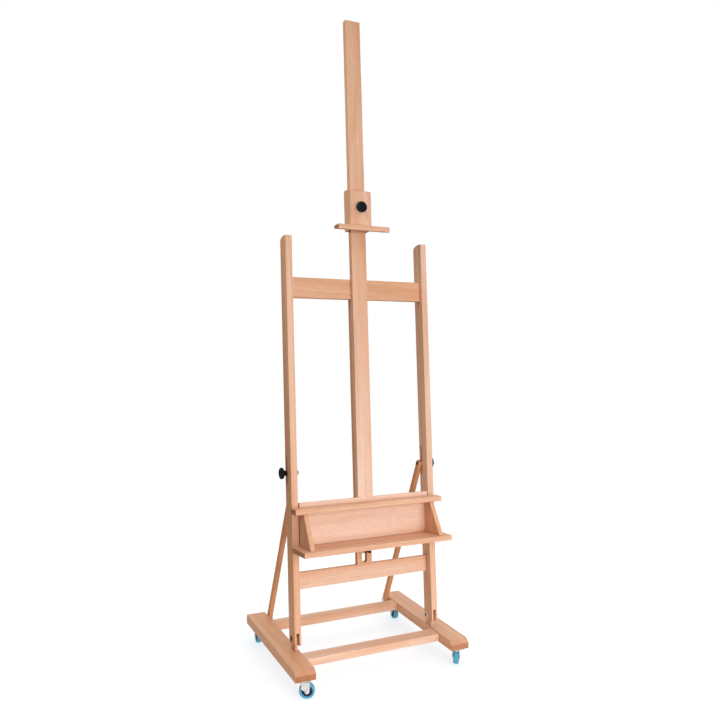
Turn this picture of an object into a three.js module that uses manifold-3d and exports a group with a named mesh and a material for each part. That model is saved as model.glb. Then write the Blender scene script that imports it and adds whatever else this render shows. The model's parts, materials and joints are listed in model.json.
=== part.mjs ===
// Studio H-frame easel on castors, in millimetres, +Z up, the painter standing at -Y.
// The origin is on the floor under the middle of the base.
import * as THREE from "three";
import { mergeVertices } from "three/addons/utils/BufferGeometryUtils.js";
import Module from "manifold-3d";

const wasm = await Module();
wasm.setup();

// ---- Driving dimensions -------------------------------------------------------------

const GAP = 0.3; // left between neighbouring pieces
const ROUND = 16; // segments in a full turn of a bolt, bore or boss
const TURN = 2 * Math.PI;

// Base: two runners joined by a front and a rear stretcher.
const RUNNER = { inner: 248, outer: 317, halfDepth: 252.5, bottom: 62, top: 94 };
const RUNNER_NOSE = { drop: 13, depth: 17 };
const STRETCHER = { bottom: 67, top: 92, front: [-172.7, -122.7], rear: [134.3, 177.3] };
const TONGUE = { inner: 254.5, outer: 263.5, radius: 16 };

// Tilting frame: x across, n from front to back, s up along the uprights.
const TILT_ORIGIN = { y: -95.4, z: 134 };
const LEAN = THREE.MathUtils.degToRad(5.85);
const UPRIGHT = { inner: 248, outer: 270.5, halfDepth: 26, bottom: -22, top: 1332 };
const FORK_SLOT = { inner: 254, outer: 264, top: 20 };
const TILT_SLOT = { low: 503, high: 594, n: 15.6, radius: 6.2 };
const UPPER_BAR = { low: 1124, high: 1193, front: -12, back: 10, housing: -4.2 };
const LOWER_BAR = { low: 154, high: 208, front: 2, back: 22 };
const POST = { halfWidth: 28, front: -4.2, back: 14.5, slotHalf: 9, slotLow: 223, slotHigh: 852 };
const PIVOT_BOLT = { s: -2, n: 6, shank: 5, head: 9, headHeight: 3.4, socket: 3.4 };
const PIVOT_NUT = { radius: 8.5, height: 6 };

// Struts behind the frame, from the runners to the slots in the uprights.
const STRUT = { thick: 15, depth: 18, footY: 222.3, footZ: 78, boltS: 538, boltN: 17, bolt: 4, edge: 3 };
const STRUT_BOLT_HEAD = { radius: 6, height: 3.5 };
const STRUT_SCREW_HEAD = { radius: 7.5, height: 4, socket: 3 };
const TILT_KNOB = { neck: 9, neckLength: 11, head: 19.5, headLength: 11, lobes: 8, dip: 1.6 };

// Mast and tray, one carriage that slides up the frame.
const MAST = { halfWidth: 28, front: -25.5, back: -4.5, top: 2112, tail: 258 };
const PANEL = { halfWidth: 244, low: 300.3, high: 441, front: -27, back: -15 };
const LEDGE = { halfWidth: 274, low: 409, high: 426.5, front: -72, back: -27.3 };
const TRAY = { halfWidth: 272, low: 283, high: 300, front: -137, back: -15, neckHalf: 244 };
const TRAY_END = { inner: 230, outer: 245, topFront: -66, bottomFront: -124 };
const LOCK = { s: 266, bolt: 4, boltFront: -38, washer: 26, washerThick: 3, nut: 9, nutHeight: 7 };
const LOCK_KNOB = { neck: 8, neckLength: 9, head: 16, headLength: 16, lobes: 5, dip: 5 };

// Upper holder that grips the top of the canvas and slides on the mast.
const HOLDER = { halfWidth: 40, low: 1362, frontHigh: 1497.5, high: 1505, front: -51, joint: -29, plate: 4 };
const CLAMP_BAR = { halfWidth: 97, low: 1354.5, high: 1372, front: -76, back: -37 };
const CLAMP_REBATE = { low: 1361, front: -66 };
const HOLDER_STUD = { s: 1440, radius: 4 };
const HOLDER_KNOB = { neck: 8, neckLength: 5, head: 19.3, headLength: 7.5, lobes: 10, dip: 0.9 };

// Castors: fixed plate and raceway, swivelling fork, axle, hub and tyre.
const CASTOR = { x: 282, y: 229, trail: 12, axleZ: 25, wheel: 25, wheelWidth: 18, hub: 17 };
const CASTOR_PLATE = { halfX: 24, halfY: 21, thick: 2.4, race: 15.5, raceLow: 54, pin: 3.5, pinHead: 4.6 };
const CASTOR_FORK = { half: 12.8, wall: 2, top: 53.7, skirt: 37, end: 21, eye: 7.5 };
const CASTOR_AXLE = { shank: 3, head: 5, headHeight: 1.8 };
// Direction from each stem to its wheel, in degrees from +X.
const CASTOR_TRAIL = { front_left: -22, front_right: 52, rear_left: 262, rear_right: 263 };

// ---- Materials ----------------------------------------------------------------------

const BEECH = { color: 0xe9bf98, roughness: 0.55, metalness: 0 };
const STRUT_BEECH = { color: 0xd99a66, roughness: 0.55, metalness: 0 };
const BLACK_PLASTIC = { color: 0x14161a, roughness: 0.4, metalness: 0 };
const ZINC = { color: 0xc3c8cc, roughness: 0.35, metalness: 1 };
const DARK_HUB = { color: 0x23252b, roughness: 0.5, metalness: 0 };
const BLUE_TYRE = { color: 0x3f8fb5, roughness: 0.6, metalness: 0 };

// ---- Geometry helpers ---------------------------------------------------------------

function mesh(name, geometry, finish) {
  const made = new THREE.Mesh(geometry, new THREE.MeshStandardMaterial(finish));
  made.name = name;
  return made;
}

function solid(geometry) {
  const bare = geometry.index ? geometry.toNonIndexed() : geometry.clone();
  bare.deleteAttribute("normal");
  bare.deleteAttribute("uv");
  const merged = mergeVertices(bare, 1e-4);
  const vertProperties = new Float32Array(merged.attributes.position.array);
  const triVerts = new Uint32Array(merged.index.array);
  return new wasm.Manifold(new wasm.Mesh({ numProp: 3, vertProperties, triVerts }));
}

function fromSolid(body) {
  const { vertProperties, triVerts } = body.getMesh();
  const geometry = new THREE.BufferGeometry();
  geometry.setAttribute("position", new THREE.BufferAttribute(vertProperties, 3));
  geometry.setIndex(new THREE.BufferAttribute(triVerts, 1));
  return geometry;
}

function cut(geometry, ...cutters) {
  return fromSolid(cutters.reduce((body, cutter) => body.subtract(solid(cutter)), solid(geometry)));
}

function join(geometry, ...others) {
  return fromSolid(others.reduce((body, other) => body.add(solid(other)), solid(geometry)));
}

function box(x, y, z) {
  const geometry = new THREE.BoxGeometry(x[1] - x[0], y[1] - y[0], z[1] - z[0]);
  return geometry.translate((x[0] + x[1]) / 2, (y[0] + y[1]) / 2, (z[0] + z[1]) / 2);
}

// A shape drawn in (y, z), extruded from x0 to x1.
function alongX(shape, x0, x1, curveSegments = 6) {
  const geometry = new THREE.ExtrudeGeometry(shape, { depth: x1 - x0, bevelEnabled: false, curveSegments });
  const turn = new THREE.Matrix4().set(0, 0, 1, x0, 1, 0, 0, 0, 0, 1, 0, 0, 0, 0, 0, 1);
  return geometry.applyMatrix4(turn);
}

// A shape drawn in (x, z), extruded from y0 to y1.
function alongY(shape, y0, y1, curveSegments = 6) {
  const geometry = new THREE.ExtrudeGeometry(shape, { depth: y1 - y0, bevelEnabled: false, curveSegments });
  const turn = new THREE.Matrix4().set(1, 0, 0, 0, 0, 0, -1, y1, 0, 1, 0, 0, 0, 0, 0, 1);
  return geometry.applyMatrix4(turn);
}

// A shape drawn in (x, y), extruded from z0 to z1.
function alongZ(shape, z0, z1, curveSegments = 6) {
  const geometry = new THREE.ExtrudeGeometry(shape, { depth: z1 - z0, bevelEnabled: false, curveSegments });
  return geometry.translate(0, 0, z0);
}

function polygon(points) {
  return new THREE.Shape(points.map(([u, v]) => new THREE.Vector2(u, v)));
}

// Round bar on the line (y, z) = (c, d), from x0 to x1.
function rodX(radius, x0, x1, c = 0, d = 0, segments = ROUND) {
  const geometry = new THREE.CylinderGeometry(radius, radius, x1 - x0, segments);
  return geometry.rotateZ(-Math.PI / 2).translate((x0 + x1) / 2, c, d);
}

// Round bar on the line (x, z) = (c, d), from y0 to y1.
function rodY(radius, y0, y1, c = 0, d = 0, segments = ROUND) {
  const geometry = new THREE.CylinderGeometry(radius, radius, y1 - y0, segments);
  return geometry.translate(c, (y0 + y1) / 2, d);
}

function rodZ(radius, z0, z1, segments = ROUND) {
  const geometry = new THREE.CylinderGeometry(radius, radius, z1 - z0, segments);
  return geometry.rotateX(Math.PI / 2).translate(0, 0, (z0 + z1) / 2);
}

// Upright slot with round ends, in the (u, v) plane of a shape.
function slotPath(u, v0, v1, radius) {
  const path = new THREE.Path();
  path.absarc(u, v0, radius, Math.PI, TURN, false);
  path.absarc(u, v1, radius, 0, Math.PI, false);
  path.closePath();
  return path;
}

// Outline of a hand knob: soft lobes around a circle.
function lobedShape(radius, lobes, dip) {
  const steps = lobes * 4;
  const points = [];
  for (let i = 0; i < steps; i += 1) {
    const angle = (TURN * i) / steps;
    const r = radius - dip * (0.5 - 0.5 * Math.cos(lobes * angle));
    points.push([r * Math.cos(angle), r * Math.sin(angle)]);
  }
  return polygon(points);
}

// Hand knob on the Z axis: neck from 0 to neckLength, lobed head above, dished on top.
function knobGeometry({ neck, neckLength, head, headLength, lobes, dip }) {
  const bevel = headLength * 0.22;
  const body = new THREE.ExtrudeGeometry(lobedShape(head, lobes, dip), {
    depth: headLength - 2 * bevel,
    bevelThickness: bevel,
    bevelSize: bevel,
    bevelOffset: -bevel,
    bevelSegments: 1,
  });
  body.translate(0, 0, neckLength + bevel);
  const dish = rodZ(head * 0.62, neckLength + headLength - 1, neckLength + headLength + 1);
  return join(cut(body, dish), rodZ(neck, 0, neckLength + 1));
}

// A point of the tilting frame in the easel's own y and z.
function leaned(s, n) {
  const y = TILT_ORIGIN.y + s * Math.sin(LEAN) + n * Math.cos(LEAN);
  const z = TILT_ORIGIN.z + s * Math.cos(LEAN) - n * Math.sin(LEAN);
  return [y, z];
}

const MIRRORS = { left: -1, right: 1 };

// The x range [inner, outer] on one side of the easel, in rising order.
function sideRange(side, inner, outer) {
  return MIRRORS[side] < 0 ? [-outer, -inner] : [inner, outer];
}

// ---- Base ---------------------------------------------------------------------------

function runner(side) {
  const { halfDepth: d, bottom, top } = RUNNER;
  const outline = polygon([
    [-d, bottom],
    [d, bottom],
    [d, top],
    [-d + RUNNER_NOSE.depth, top],
    [-d, top - RUNNER_NOSE.drop],
  ]);
  const [x0, x1] = sideRange(side, RUNNER.inner, RUNNER.outer);
  return mesh(`runner_${side}`, alongX(outline, x0, x1), BEECH);
}

function stretcher(name, depth) {
  const half = RUNNER.inner - GAP;
  return mesh(`stretcher_${name}`, box([-half, half], depth, [STRETCHER.bottom, STRETCHER.top]), BEECH);
}

// Flat tab that stands on the runner and goes up into the foot of the upright.
function tongue(side) {
  const [y, z] = leaned(PIVOT_BOLT.s, PIVOT_BOLT.n);
  const outline = new THREE.Shape();
  outline.moveTo(y - TONGUE.radius, RUNNER.top + GAP);
  outline.lineTo(y + TONGUE.radius, RUNNER.top + GAP);
  outline.absarc(y, z, TONGUE.radius, 0, Math.PI, false);
  outline.closePath();
  const [x0, x1] = sideRange(side, TONGUE.inner, TONGUE.outer);
  const bore = rodX(PIVOT_BOLT.shank + GAP, x0 - 1, x1 + 1, y, z);
  return mesh(`pivot_tongue_${side}`, cut(alongX(outline, x0, x1), bore), BEECH);
}

// ---- Tilting frame ------------------------------------------------------------------

function uprightOutline() {
  const { halfDepth: d, bottom, top } = UPRIGHT;
  const foot = 12;
  const edge = 4;
  const depth = 34;
  const drop = 13;
  const outline = new THREE.Shape();
  outline.moveTo(-d, bottom + foot);
  outline.absarc(-d + foot, bottom + foot, foot, Math.PI, 1.5 * Math.PI, false);
  outline.absarc(d - foot, bottom + foot, foot, 1.5 * Math.PI, TURN, false);
  outline.absellipse(d - depth, top - drop, depth, drop, 0, Math.PI / 2, false, 0);
  outline.absarc(-d + edge, top - edge, edge, Math.PI / 2, Math.PI, false);
  outline.closePath();
  return outline;
}

function upright(side) {
  const outline = uprightOutline();
  outline.holes.push(slotPath(TILT_SLOT.n, TILT_SLOT.low, TILT_SLOT.high, TILT_SLOT.radius));
  const [x0, x1] = sideRange(side, UPRIGHT.inner, UPRIGHT.outer);
  const { s, n, shank, head, headHeight } = PIVOT_BOLT;
  const bore = rodX(shank + GAP, x0 - 1, x1 + 1, n, s);
  const face = MIRRORS[side] * UPRIGHT.outer;
  const counterbore = rodX(head + 1, face - headHeight, face + headHeight, n, s);
  const width = sideRange(side, FORK_SLOT.inner, FORK_SLOT.outer);
  const depth = UPRIGHT.halfDepth + 1;
  const slot = box(width, [-depth, depth], [UPRIGHT.bottom - 1, FORK_SLOT.top]);
  return mesh(`upright_${side}`, cut(alongX(outline, x0, x1), bore, counterbore, slot), BEECH);
}

// Bolt through the two cheeks of the upright's foot and the tongue between them.
function pivotBolt(side) {
  const { s, n } = PIVOT_BOLT;
  const headIn = UPRIGHT.outer - PIVOT_BOLT.headHeight + GAP;
  const tip = UPRIGHT.inner - PIVOT_NUT.height - 2;
  const shank = rodX(PIVOT_BOLT.shank, ...sideRange(side, tip, headIn + 1), n, s);
  const head = rodX(PIVOT_BOLT.head, ...sideRange(side, headIn, UPRIGHT.outer - 0.4), n, s);
  const face = MIRRORS[side] * UPRIGHT.outer;
  const socket = rodX(PIVOT_BOLT.socket, face - 2, face + 2, n, s, 6);
  return mesh(`pivot_bolt_${side}`, cut(join(shank, head), socket), ZINC);
}

function pivotNut(side) {
  const face = UPRIGHT.inner - GAP;
  const [x0, x1] = sideRange(side, face - PIVOT_NUT.height, face);
  const { s, n, shank } = PIVOT_BOLT;
  const nut = rodX(PIVOT_NUT.radius, x0, x1, n, s, 6);
  return mesh(`pivot_nut_${side}`, cut(nut, rodX(shank + GAP, x0 - 1, x1 + 1, n, s)), ZINC);
}

function upperCrossbar() {
  const half = UPRIGHT.inner - GAP;
  const { low, high, front, back, housing: seat } = UPPER_BAR;
  const bar = box([-half, half], [front, back], [low, high]);
  const room = MAST.halfWidth + 0.5;
  const housing = box([-room, room], [front - 1, seat], [low - 1, high + 1]);
  return mesh("crossbar_upper", cut(bar, housing), BEECH);
}

function lowerCrossbar() {
  const half = UPRIGHT.inner - GAP;
  const bar = box([-half, half], [LOWER_BAR.front, LOWER_BAR.back], [LOWER_BAR.low, LOWER_BAR.high]);
  return mesh("crossbar_lower", bar, BEECH);
}

function centrePost() {
  const { halfWidth: w, front, back } = POST;
  const low = LOWER_BAR.high + GAP;
  const high = UPPER_BAR.low - GAP;
  const outline = polygon([
    [-w, low],
    [w, low],
    [w, high],
    [-w, high],
  ]);
  outline.holes.push(slotPath(0, POST.slotLow, POST.slotHigh, POST.slotHalf));
  return mesh("centre_post", alongY(outline, front, back), BEECH);
}

// ---- Struts -------------------------------------------------------------------------

// The strut's upper bolt, and the strut that reaches it from its foot.
const [BOLT_Y, BOLT_Z] = leaned(STRUT.boltS, STRUT.boltN);
const STRUT_LENGTH = Math.hypot(STRUT.footY - BOLT_Y, BOLT_Z - STRUT.footZ);
const STRUT_SLOPE = Math.atan2(STRUT.footY - BOLT_Y, BOLT_Z - STRUT.footZ);
const STRUT_OUTER = UPRIGHT.inner - GAP;
const STRUT_INNER = STRUT_OUTER - STRUT.thick;

function strutBar(side) {
  const half = STRUT.depth / 2;
  const outline = new THREE.Shape();
  outline.absarc(0, 0, half, Math.PI, TURN, false);
  const { edge } = STRUT;
  const shoulder = STRUT_LENGTH + half - edge;
  outline.absarc(half - edge, shoulder, edge, 0, Math.PI / 2, false);
  outline.absarc(-half + edge, shoulder, edge, Math.PI / 2, Math.PI, false);
  outline.closePath();
  const [x0, x1] = sideRange(side, STRUT_INNER, STRUT_OUTER);
  const bores = [0, STRUT_LENGTH].map((z) => rodX(STRUT.bolt + GAP, x0 - 1, x1 + 1, 0, z));
  return mesh(`strut_${side}`, cut(alongX(outline, x0, x1), ...bores), STRUT_BEECH);
}

// Bolt at the top of the strut: hexagon head inside, thread out through the upright.
function tiltBolt(side) {
  const headEnd = STRUT_INNER - GAP;
  const tip = UPRIGHT.outer + TILT_KNOB.neckLength;
  const shank = rodX(STRUT.bolt, ...sideRange(side, headEnd - 1, tip), 0, STRUT_LENGTH);
  const { radius, height } = STRUT_BOLT_HEAD;
  const head = rodX(radius, ...sideRange(side, headEnd - height, headEnd), 0, STRUT_LENGTH, 6);
  return mesh(`tilt_bolt_${side}`, join(shank, head), DARK_HUB);
}

function tiltKnob(side) {
  const sign = MIRRORS[side];
  const size = { ...TILT_KNOB, neckLength: TILT_KNOB.neckLength - GAP };
  const blind = rodZ(STRUT.bolt + GAP, -1, TILT_KNOB.neckLength + 1);
  const made = mesh(`tilt_knob_${side}`, cut(knobGeometry(size), blind), BLACK_PLASTIC);
  made.rotation.y = (sign * Math.PI) / 2;
  made.position.set(sign * (UPRIGHT.outer + GAP), 0, STRUT_LENGTH);
  return made;
}

// Screw that holds the strut's foot to the runner's inner face, with its head inside.
function strutScrew(side) {
  const headEnd = STRUT_INNER - GAP;
  const shank = rodX(STRUT.bolt, ...sideRange(side, headEnd - 1, STRUT_OUTER));
  const { radius, height, socket } = STRUT_SCREW_HEAD;
  const head = rodX(radius, ...sideRange(side, headEnd - height, headEnd));
  const recess = rodX(socket, ...sideRange(side, headEnd - 2 * height, headEnd - 2), 0, 0, 6);
  return mesh(`strut_screw_${side}`, cut(join(shank, head), recess), ZINC);
}

function strut(side) {
  const group = new THREE.Group();
  group.position.set(0, STRUT.footY, STRUT.footZ);
  group.rotation.x = STRUT_SLOPE;
  return group.add(strutBar(side), tiltBolt(side), tiltKnob(side), strutScrew(side));
}

// ---- Mast and tray ------------------------------------------------------------------

// Full section above the tray; below it the front is cut back to pass behind the panel.
function mast() {
  const { halfWidth: w, front, back, top, tail } = MAST;
  const lapFront = PANEL.back + GAP;
  const outline = polygon([
    [lapFront, tail],
    [back, tail],
    [back, top],
    [front, top],
    [front, PANEL.high + GAP],
    [lapFront, PANEL.high + GAP],
  ]);
  const bore = rodY(LOCK.bolt + GAP, lapFront - 1, back + 1, 0, LOCK.s);
  return mesh("mast", cut(alongX(outline, -w, w), bore), BEECH);
}

function trayPanel() {
  const { halfWidth: w, low, high, front, back } = PANEL;
  return mesh("tray_back_panel", box([-w, w], [front, back], [low, high]), BEECH);
}

function ledge() {
  const { halfWidth: w, low, high, front, back } = LEDGE;
  return mesh("canvas_ledge", box([-w, w], [front, back], [low, high]), BEECH);
}

// The floor is full width in front of the uprights and narrows to pass between them.
function trayFloor() {
  const { halfWidth: w, neckHalf: v, low, high, front, back } = TRAY;
  const shoulder = -UPRIGHT.halfDepth - 1;
  const outline = polygon([
    [-w, front],
    [w, front],
    [w, shoulder],
    [v, shoulder],
    [v, back],
    [-v, back],
    [-v, shoulder],
    [-w, shoulder],
  ]);
  return mesh("tray_floor", alongZ(outline, low, high), BEECH);
}

function trayEnd(side) {
  const low = TRAY.high + GAP;
  const high = LEDGE.low - GAP;
  const back = PANEL.front - GAP;
  const outline = polygon([
    [TRAY_END.bottomFront, low],
    [back, low],
    [back, high],
    [TRAY_END.topFront, high],
  ]);
  const [x0, x1] = sideRange(side, TRAY_END.inner, TRAY_END.outer);
  return mesh(`tray_end_${side}`, alongX(outline, x0, x1), BEECH);
}

// Lock: bolt through the mast's tail and the post's slot, plate washer and nut behind.
function lockBolt() {
  const end = POST.back + LOCK.washerThick + LOCK.nutHeight + 3;
  return mesh("lock_bolt", rodY(LOCK.bolt, LOCK.boltFront, end, 0, LOCK.s), ZINC);
}

function lockWasher() {
  const back = POST.back + GAP;
  const disc = rodY(LOCK.washer, back, back + LOCK.washerThick, 0, LOCK.s, 32);
  const bore = rodY(LOCK.bolt + GAP, back - 1, back + LOCK.washerThick + 1, 0, LOCK.s);
  return mesh("lock_washer", cut(disc, bore), ZINC);
}

function lockNut() {
  const start = POST.back + LOCK.washerThick + 2 * GAP;
  const end = start + LOCK.nutHeight;
  const nut = rodY(LOCK.nut, start, end, 0, LOCK.s, 6);
  return mesh("lock_nut", cut(nut, rodY(LOCK.bolt + GAP, start - 1, end + 1, 0, LOCK.s)), ZINC);
}

function lockKnob() {
  const blind = rodZ(LOCK.bolt + GAP, -1, PANEL.back - LOCK.boltFront + 1);
  const made = mesh("lock_knob", cut(knobGeometry(LOCK_KNOB), blind), BLACK_PLASTIC);
  made.rotation.x = Math.PI / 2;
  made.position.set(0, PANEL.back, LOCK.s);
  return made;
}

// ---- Upper holder -------------------------------------------------------------------

function holderFront() {
  const { halfWidth: w, low, frontHigh, front, joint } = HOLDER;
  const block = box([-w, w], [front, joint - GAP / 2], [low, frontHigh]);
  const lapHeight = [low - 1, CLAMP_BAR.high + GAP];
  const lap = box([-w - 1, w + 1], [front - 1, CLAMP_BAR.back + GAP], lapHeight);
  const bore = rodY(HOLDER_STUD.radius + GAP, front - 1, joint + 1, 0, HOLDER_STUD.s);
  return mesh("holder_front", cut(block, lap, bore), BEECH);
}

// Cheek beside the mast, between the front block and the rear plate.
function holderCheek(side) {
  const range = sideRange(side, MAST.halfWidth + 0.4, HOLDER.halfWidth);
  const cheek = box(range, [HOLDER.joint + GAP / 2, MAST.back], [HOLDER.low, HOLDER.high]);
  return mesh(`holder_cheek_${side}`, cheek, BEECH);
}

function holderPlate() {
  const { halfWidth: w, low, high, plate } = HOLDER;
  const front = MAST.back + GAP;
  return mesh("holder_back_plate", box([-w, w], [front, front + plate], [low, high]), BEECH);
}

// The bar's underside is cut back behind a lip that hooks over the canvas.
function clampBar() {
  const { halfWidth: w, low, high, front, back } = CLAMP_BAR;
  const outline = polygon([
    [front, low],
    [CLAMP_REBATE.front, low],
    [CLAMP_REBATE.front, CLAMP_REBATE.low],
    [back, CLAMP_REBATE.low],
    [back, high],
    [front, high],
  ]);
  return mesh("clamp_bar", alongX(outline, -w, w), BEECH);
}

function holderKnob() {
  const reach = MAST.front - GAP - HOLDER.front;
  const stud = rodZ(HOLDER_STUD.radius, -reach + GAP, 1);
  const made = mesh("holder_knob", join(knobGeometry(HOLDER_KNOB), stud), BLACK_PLASTIC);
  made.rotation.x = Math.PI / 2;
  made.position.set(0, HOLDER.front - GAP, HOLDER_STUD.s);
  return made;
}

// ---- Castors ------------------------------------------------------------------------

// Castor parts are drawn with the stem on the Z axis and the wheel trailing along +X.
function castorPlate(name, turn) {
  const { halfX, halfY, thick, race, raceLow, pin, pinHead } = CASTOR_PLATE;
  const top = RUNNER.bottom - GAP;
  const plate = box([-halfX, halfX], [-halfY, halfY], [top - thick, top]).rotateZ(-turn);
  const forkTop = CASTOR_FORK.top;
  const raceway = rodZ(race, raceLow, top - thick + 1, 20);
  const kingpin = rodZ(pin, forkTop - 3, raceLow + 1);
  const rivet = rodZ(pinHead, forkTop - CASTOR_FORK.wall - 2.2, forkTop - CASTOR_FORK.wall - GAP);
  return mesh(`${name}_plate`, join(plate, raceway, kingpin, rivet), ZINC);
}

// Pressed steel fork: flat crown with a round nose, legs that narrow down to the axle.
function castorFork(name) {
  const { half, wall, top, skirt, end, eye } = CASTOR_FORK;
  const { trail, axleZ } = CASTOR;
  const plan = new THREE.Shape();
  plan.absarc(0, 0, half, Math.PI / 2, 1.5 * Math.PI, false);
  plan.lineTo(end, -half);
  plan.lineTo(end, half);
  plan.closePath();
  const side = new THREE.Shape();
  side.moveTo(-half - 1, top);
  side.lineTo(-half - 1, skirt);
  side.lineTo(trail - eye, axleZ);
  side.absarc(trail, axleZ, eye, Math.PI, TURN, false);
  side.lineTo(end, skirt + 6);
  side.lineTo(end, top);
  side.closePath();
  const low = axleZ - eye - 1;
  const block = solid(alongZ(plan, low, top, 8));
  const inside = solid(box([-half - 1, end + 1], [wall - half, half - wall], [low - 1, top - wall]));
  const profile = solid(alongY(side, -half - 1, half + 1));
  const pinHole = solid(rodZ(CASTOR_PLATE.pin + GAP, top - wall - 1, top + 1));
  const axleHole = solid(rodY(CASTOR_AXLE.shank + GAP, -half - 1, half + 1, trail, axleZ));
  const body = block.subtract(inside).intersect(profile).subtract(pinHole).subtract(axleHole);
  return mesh(`${name}_fork`, fromSolid(body), ZINC);
}

function castorAxle(name) {
  const { shank, head, headHeight } = CASTOR_AXLE;
  const face = CASTOR_FORK.half + GAP;
  const { trail, axleZ } = CASTOR;
  const rod = rodY(shank, -face - 1, face + 1, trail, axleZ);
  const heads = [-face - headHeight, face].map((y) => rodY(head, y, y + headHeight, trail, axleZ));
  return mesh(`${name}_axle`, join(rod, ...heads), ZINC);
}

// A ring turned about the wheel's axle from a profile of [radius, across] points.
function wheelRing(profile, segments) {
  const closed = [...profile, profile[0]].map(([r, v]) => new THREE.Vector2(r, v));
  return new THREE.LatheGeometry(closed, segments).translate(CASTOR.trail, 0, CASTOR.axleZ);
}

function castorHub(name) {
  const bore = CASTOR_AXLE.shank + GAP;
  const boss = CASTOR.wheelWidth / 2 + 0.8;
  const rim = CASTOR.wheelWidth / 2 - 1.5;
  const web = 3;
  const profile = [
    [bore, -boss],
    [7, -boss],
    [7, -web],
    [13.5, -web],
    [13.5, -rim],
    [CASTOR.hub, -rim],
    [CASTOR.hub, rim],
    [13.5, rim],
    [13.5, web],
    [7, web],
    [7, boss],
    [bore, boss],
  ];
  return mesh(`${name}_hub`, wheelRing(profile, 20), DARK_HUB);
}

function castorTyre(name) {
  const half = CASTOR.wheelWidth / 2;
  const inner = CASTOR.hub + GAP;
  const tread = CASTOR.wheel;
  const shoulder = 3.2;
  const profile = [
    [inner, -half + 0.8],
    [tread - shoulder, -half],
    [tread - shoulder * 0.3, -half + shoulder * 0.4],
    [tread, -half + shoulder * 1.3],
    [tread, half - shoulder * 1.3],
    [tread - shoulder * 0.3, half - shoulder * 0.4],
    [tread - shoulder, half],
    [inner, half - 0.8],
  ];
  return mesh(`${name}_tyre`, wheelRing(profile, 32), BLUE_TYRE);
}

function castor(place) {
  const name = `castor_${place}`;
  const turn = THREE.MathUtils.degToRad(CASTOR_TRAIL[place]);
  const group = new THREE.Group();
  group.position.x = place.endsWith("left") ? -CASTOR.x : CASTOR.x;
  group.position.y = place.startsWith("front") ? -CASTOR.y : CASTOR.y;
  group.rotation.z = turn;
  group.add(castorPlate(name, turn), castorFork(name));
  return group.add(castorAxle(name), castorHub(name), castorTyre(name));
}

// ---- Assembly -----------------------------------------------------------------------

const SIDES = Object.keys(MIRRORS);

const base = new THREE.Group();
base.add(stretcher("front", STRETCHER.front), stretcher("rear", STRETCHER.rear));
base.add(...SIDES.map(runner), ...SIDES.map(tongue), ...Object.keys(CASTOR_TRAIL).map(castor));

const carriage = new THREE.Group();
carriage.add(mast(), trayPanel(), ledge(), trayFloor(), ...SIDES.map(trayEnd));
carriage.add(lockBolt(), lockWasher(), lockNut(), lockKnob());

const holder = new THREE.Group();
holder.add(holderFront(), ...SIDES.map(holderCheek), holderPlate(), clampBar(), holderKnob());

const tiltFrame = new THREE.Group();
tiltFrame.position.set(0, TILT_ORIGIN.y, TILT_ORIGIN.z);
tiltFrame.rotation.x = -LEAN;
tiltFrame.add(...SIDES.map(upright), ...SIDES.map(pivotBolt), ...SIDES.map(pivotNut));
tiltFrame.add(upperCrossbar(), lowerCrossbar(), centrePost(), carriage, holder);

const easel = new THREE.Group();
easel.add(base, tiltFrame, ...SIDES.map(strut));

export default easel;
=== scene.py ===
"""Looks of the studio easel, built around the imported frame. Metres, +Z up, the painter at -Y."""

import json
import math

import bmesh
import bpy
import numpy as np
from mathutils import Matrix, Vector


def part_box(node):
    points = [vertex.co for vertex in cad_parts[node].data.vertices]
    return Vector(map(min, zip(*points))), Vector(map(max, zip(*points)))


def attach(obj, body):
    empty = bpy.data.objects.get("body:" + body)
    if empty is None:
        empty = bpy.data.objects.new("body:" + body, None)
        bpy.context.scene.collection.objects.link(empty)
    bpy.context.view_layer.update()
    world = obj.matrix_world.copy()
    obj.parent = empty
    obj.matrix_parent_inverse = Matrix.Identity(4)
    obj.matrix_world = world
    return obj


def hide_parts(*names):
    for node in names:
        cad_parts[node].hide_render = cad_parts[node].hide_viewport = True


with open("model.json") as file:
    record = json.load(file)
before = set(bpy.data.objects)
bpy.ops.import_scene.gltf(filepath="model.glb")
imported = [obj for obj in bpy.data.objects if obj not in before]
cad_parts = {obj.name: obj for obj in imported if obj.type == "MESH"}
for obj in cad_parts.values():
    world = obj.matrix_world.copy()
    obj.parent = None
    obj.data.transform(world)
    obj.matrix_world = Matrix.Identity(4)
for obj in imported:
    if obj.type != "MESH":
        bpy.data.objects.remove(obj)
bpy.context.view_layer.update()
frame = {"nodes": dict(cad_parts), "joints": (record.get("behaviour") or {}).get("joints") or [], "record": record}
NODES = frame["nodes"]
JOINTS = {joint["name"]: joint for joint in frame["joints"]}
BODIES = frame["record"]["behaviour"]["bodies"]
BODY_OF = {node: body for body, nodes in BODIES.items() for node in nodes}

SIDES = ("left", "right")
CASTORS = ("front_left", "front_right", "rear_left", "rear_right")
CORNERS = ((1, 1), (-1, 1), (-1, -1), (1, -1))
# The mark of the eased edges; the beech darkens them there as wear and as painted shade.
EDGE_WEAR_AND_PAINTED_SHADE = "edge_wear_and_painted_shade"
MM = 0.001
TURN = 2 * math.pi
ACROSS = Vector((1, 0, 0))
ALONG = Vector((0, 1, 0))
UP = Vector((0, 0, 1))
MAST_UP = Vector(JOINTS["tray_slide"]["axis"]).normalized()
STRUT_FOOT = Vector(JOINTS["strut_left_fold"]["pos_m"])
STRUT_TOP = Vector(JOINTS["tilt_knob_left_turn"]["pos_m"])
STRUT_UP = (STRUT_TOP - STRUT_FOOT).normalized()

# Corners closer than this are one, and faces that turn by less than this are flat.
WELD = 0.002 * MM
FLAT = math.radians(0.6)

# The floor: its radius, where its glow changes, its glow near and far, and the share of
# the glow near the easel that lights the easel.
FLOOR_RADIUS = 1.35
FLOOR_FADE = (0.55, 0.9 * FLOOR_RADIUS)
FLOOR_GLOW = (0.80, 1.03)
FLOOR_BOUNCE = 0.60


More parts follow.
